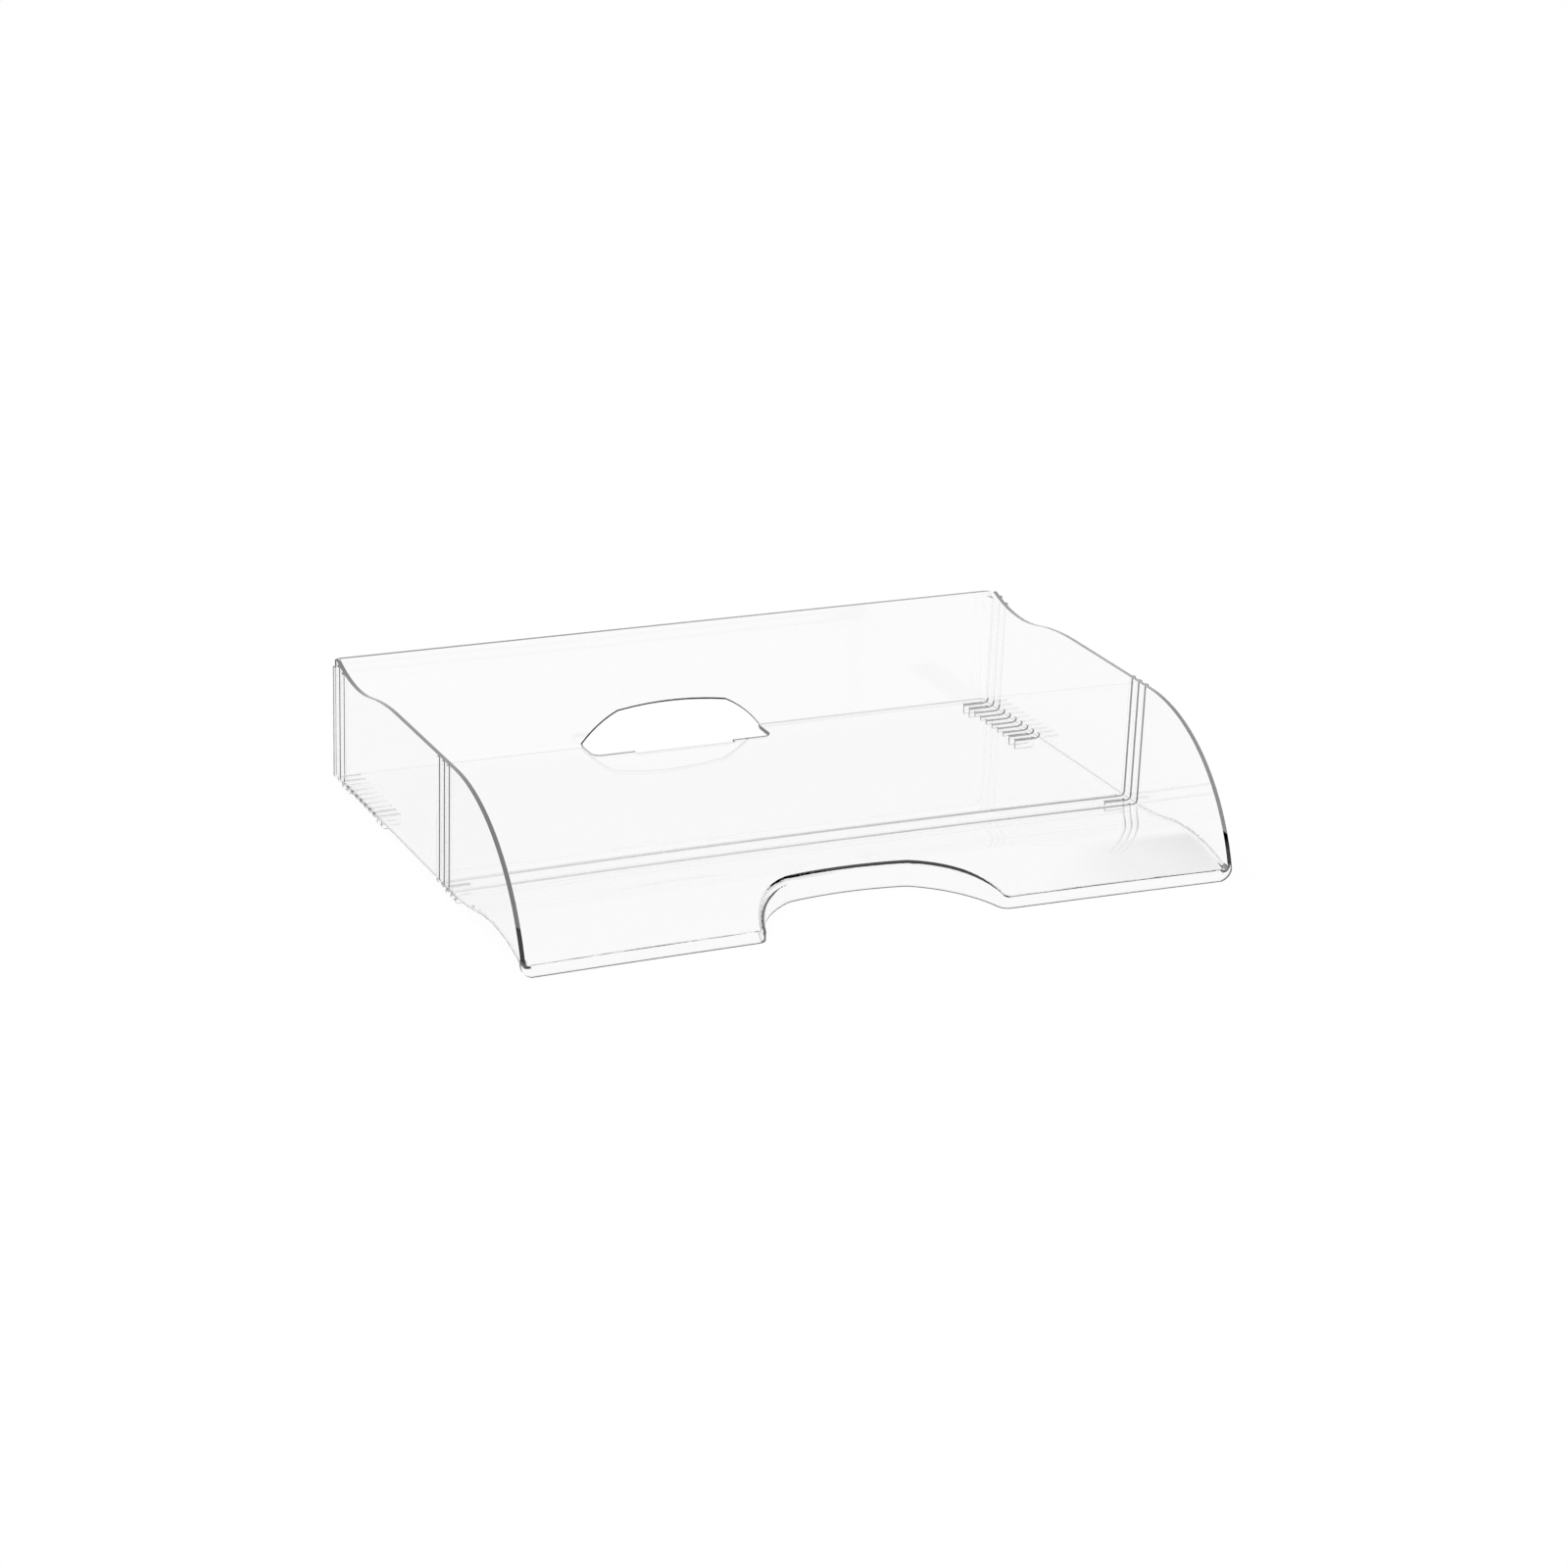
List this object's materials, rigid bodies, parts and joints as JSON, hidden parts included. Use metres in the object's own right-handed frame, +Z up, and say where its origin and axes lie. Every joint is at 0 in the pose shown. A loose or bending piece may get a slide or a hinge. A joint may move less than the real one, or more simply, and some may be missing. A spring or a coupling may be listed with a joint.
{
  "type": "letter tray",
  "caption": "Clear one-piece letter tray for landscape papers, with an open front, a thumb cut-out, a rear finger opening and ribbed feet that register a stack.",
  "frame": {"origin": "on the table, under the middle of the tray", "axes": "+X across the tray to its right, +Y to the rear wall, +Z up"},
  "size_m": [0.3364, 0.24, 0.0635],
  "materials": {
    "clear_plastic": "clear gloss"
  },
  "bodies": {
    "root": {"letter_tray": "clear_plastic"}
  },
  "joints": []
}
